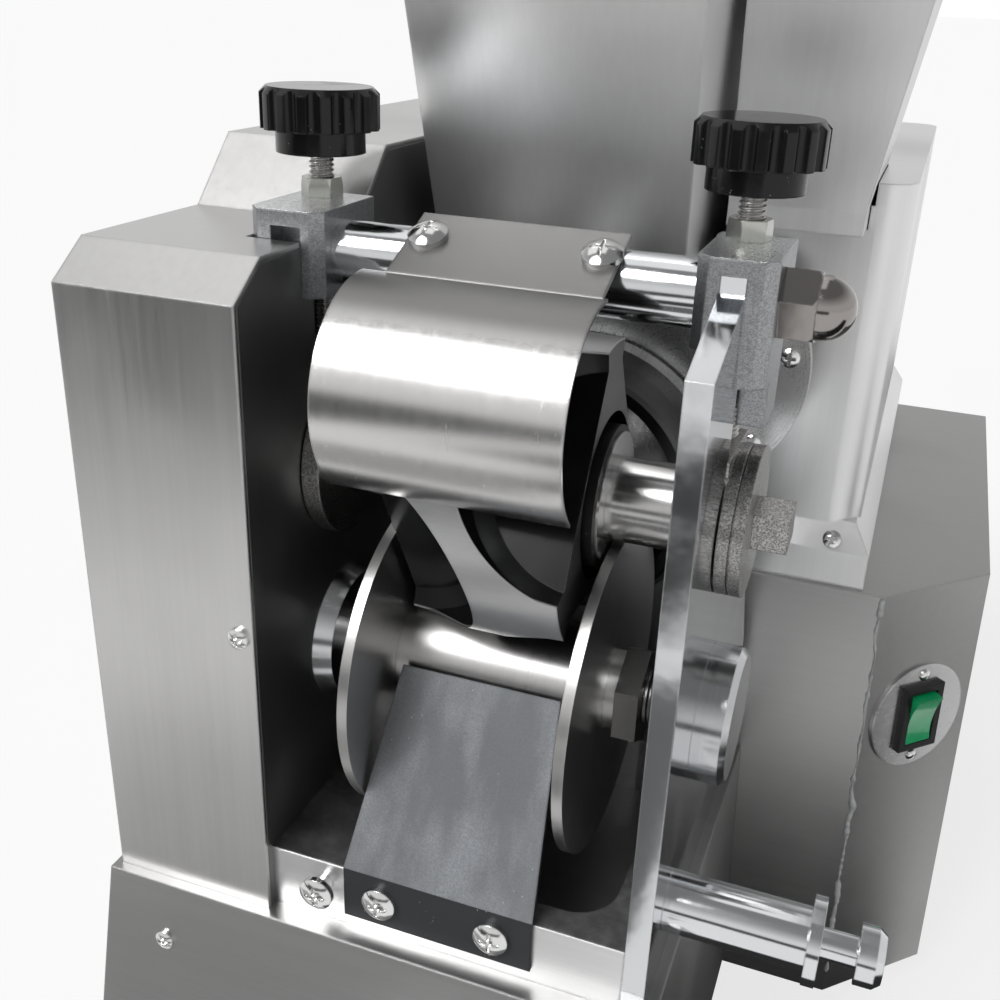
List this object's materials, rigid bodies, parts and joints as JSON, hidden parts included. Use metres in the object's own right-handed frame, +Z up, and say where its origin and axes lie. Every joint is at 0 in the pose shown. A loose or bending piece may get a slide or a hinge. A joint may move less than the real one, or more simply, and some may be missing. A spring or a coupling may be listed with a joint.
{
  "type": "dumpling making machine",
  "caption": "Motor driven dumpling making machine: a drum with half-moon pockets rolls on a flanged spool, cuts filled dough and drops dumplings on a chute.",
  "frame": {"origin": "on the table under the middle of the machine's box", "axes": "+Z up, -Y towards the chute and the operator, -X towards the gear cover"},
  "size_m": [0.304, 0.438, 0.472],
  "materials": {
    "brushed_sheet": "brushed stainless sheet, fine vertical grain",
    "floor_sheet": "plain sheet, matt",
    "machined_steel": "turned and ground steel, satin",
    "chromed_steel": "polished chrome plate",
    "zinc_casting": "zinc plated, speckled crystals",
    "shaft_steel": "turned steel, satin",
    "gear_steel": "oiled cut steel",
    "feed_steel": "polished food steel",
    "dark_sheet": "matt dark grey coating, slightly dusty",
    "black_steel": "blackened steel, polished rim",
    "black_nylon": "turned black nylon",
    "black_plastic": "moulded, semi gloss",
    "green_plastic": "moulded, clear gloss",
    "switch_plate": "satin plate",
    "rubber": "matt",
    "gearbox_cast": "as cast",
    "motor_paint": "satin paint"
  },
  "bodies": {
    "frame": {"base_housing": "brushed_sheet", "base_floor": "floor_sheet", "rubber_feet": "rubber", "head_base_plate": "machined_steel", "left_wall_plate": "machined_steel", "right_side_plate": "chromed_steel", "gear_cover": "brushed_sheet", "left_saddle": "zinc_casting", "right_saddle": "zinc_casting", "crossbar": "chromed_steel", "acorn_nut": "chromed_steel", "crossbar_nut": "chromed_steel", "guard": "brushed_sheet", "pan_screws": "chromed_steel", "small_screws": "chromed_steel", "lower_bearing_left": "machined_steel", "lower_bearing_right": "chromed_steel", "chute": "dark_sheet", "side_post": "chromed_steel", "post_bolt": "machined_steel", "dough_barrel": "machined_steel", "nozzle_ring": "black_steel", "nozzle": "machined_steel", "dough_hopper": "brushed_sheet", "filling_hopper": "brushed_sheet", "pump_casing": "machined_steel", "pump_cover": "machined_steel", "upper_housing": "brushed_sheet", "gearbox": "gearbox_cast", "motor": "motor_paint", "idler_pin": "shaft_steel", "transfer_pin": "shaft_steel", "switch_plate": "switch_plate", "switch_bezel": "black_plastic", "lock_nuts": "zinc_casting"},
    "mould_carriage": {"upper_bush_left": "machined_steel", "upper_bush_right": "machined_steel"},
    "drum": {"upper_shaft": "shaft_steel", "forming_drum": "machined_steel", "drum_ring": "black_nylon", "drum_collar": "machined_steel", "upper_gear": "gear_steel"},
    "knob_right_body": {"knob_right": "black_plastic", "press_screw_right": "shaft_steel"},
    "knob_left_body": {"knob_left": "black_plastic", "press_screw_left": "shaft_steel"},
    "spool": {"lower_shaft": "shaft_steel", "spool_hub": "machined_steel", "spool_flange_left": "machined_steel", "spool_flange_right": "machined_steel", "spool_nut": "shaft_steel", "lower_pinion": "gear_steel"},
    "idler": {"idler_gear": "gear_steel"},
    "transfer": {"transfer_gear": "gear_steel"},
    "drive": {"drive_shaft": "shaft_steel", "drive_gear": "gear_steel"},
    "auger": {"dough_auger": "feed_steel"},
    "pump": {"pump_rotor": "feed_steel"},
    "rocker": {"switch_rocker": "green_plastic"}
  },
  "joints": [
    {"name": "mould_lift", "type": "slide", "parent": "frame", "child": "mould_carriage", "axis": [0, 0, 1], "range_m": [0, 0.0015]},
    {"name": "drum_spin", "type": "hinge", "parent": "mould_carriage", "child": "drum", "pos_m": [-0.014, -0.143, 0.287], "axis": [1, 0, 0], "continuous": true},
    {"name": "knob_right_turn", "type": "hinge", "parent": "mould_carriage", "child": "knob_right_body", "pos_m": [0.051, -0.137, 0.39], "axis": [0, 0, 1], "range_deg": [-15, 385]},
    {"name": "knob_left_turn", "type": "hinge", "parent": "mould_carriage", "child": "knob_left_body", "pos_m": [-0.0845, -0.137, 0.39], "axis": [0, 0, 1], "range_deg": [-15, 385]},
    {"name": "spool_spin", "type": "hinge", "parent": "frame", "child": "spool", "pos_m": [-0.014, -0.143, 0.217], "axis": [1, 0, 0], "continuous": true},
    {"name": "idler_spin", "type": "hinge", "parent": "frame", "child": "idler", "pos_m": [-0.104, -0.093, 0.217], "axis": [1, 0, 0], "continuous": true},
    {"name": "transfer_spin", "type": "hinge", "parent": "frame", "child": "transfer", "pos_m": [-0.104, -0.03643, 0.27357], "axis": [1, 0, 0], "continuous": true},
    {"name": "drive_spin", "type": "hinge", "parent": "frame", "child": "drive", "pos_m": [-0.104, 0.06266, 0.287], "axis": [1, 0, 0], "continuous": true},
    {"name": "auger_spin", "type": "hinge", "parent": "frame", "child": "auger", "pos_m": [-0.014, -0.013, 0.26], "axis": [0, 1, 0], "continuous": true},
    {"name": "pump_spin", "type": "hinge", "parent": "frame", "child": "pump", "pos_m": [0.018, -0.033, 0.307], "axis": [0, 1, 0], "continuous": true},
    {"name": "switch_rock", "type": "hinge", "parent": "frame", "child": "rocker", "pos_m": [0.1278, -0.0208, 0.158], "axis": [0.7071, 0.7071, 0], "range_deg": [-20, 0]}
  ],
  "couplings": [
    {"joint": "knob_right_turn", "follows": "mould_lift", "rad_per_m": 4188.8},
    {"joint": "knob_left_turn", "follows": "mould_lift", "rad_per_m": 4188.8},
    {"joint": "spool_spin", "follows": "drum_spin", "ratio": -2.5},
    {"joint": "idler_spin", "follows": "drum_spin", "ratio": 1.6667},
    {"joint": "transfer_spin", "follows": "drum_spin", "ratio": -1},
    {"joint": "drive_spin", "follows": "drum_spin", "ratio": 1},
    {"joint": "auger_spin", "follows": "drum_spin", "ratio": 1.5},
    {"joint": "pump_spin", "follows": "drum_spin", "ratio": 1}
  ]
}
